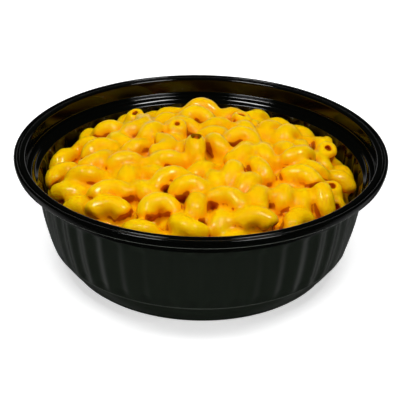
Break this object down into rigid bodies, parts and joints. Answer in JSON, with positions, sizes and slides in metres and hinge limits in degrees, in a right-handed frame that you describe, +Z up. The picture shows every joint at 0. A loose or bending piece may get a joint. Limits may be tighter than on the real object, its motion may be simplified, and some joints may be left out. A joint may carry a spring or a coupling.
{
  "type": "macaroni and cheese",
  "caption": "Heaped elbow macaroni in glossy cheese sauce, filling a round black plastic take-away bowl with fluted sides and a flanged rim.",
  "frame": {"origin": "centre of the bowl's base, on the surface that it stands on", "axes": "+Z up through the heap, -Y towards the side from which the heap is seen best, +X to that view's right"},
  "size_m": [0.16, 0.16, 0.0598],
  "materials": {
    "black_plastic": "moulded polypropylene, black and glossy",
    "cheese_sauce": "soft pasta under a wet, glossy yellow-orange cheese sauce"
  },
  "bodies": {
    "root": {"bowl": "black_plastic", "macaroni": "cheese_sauce"}
  },
  "joints": []
}
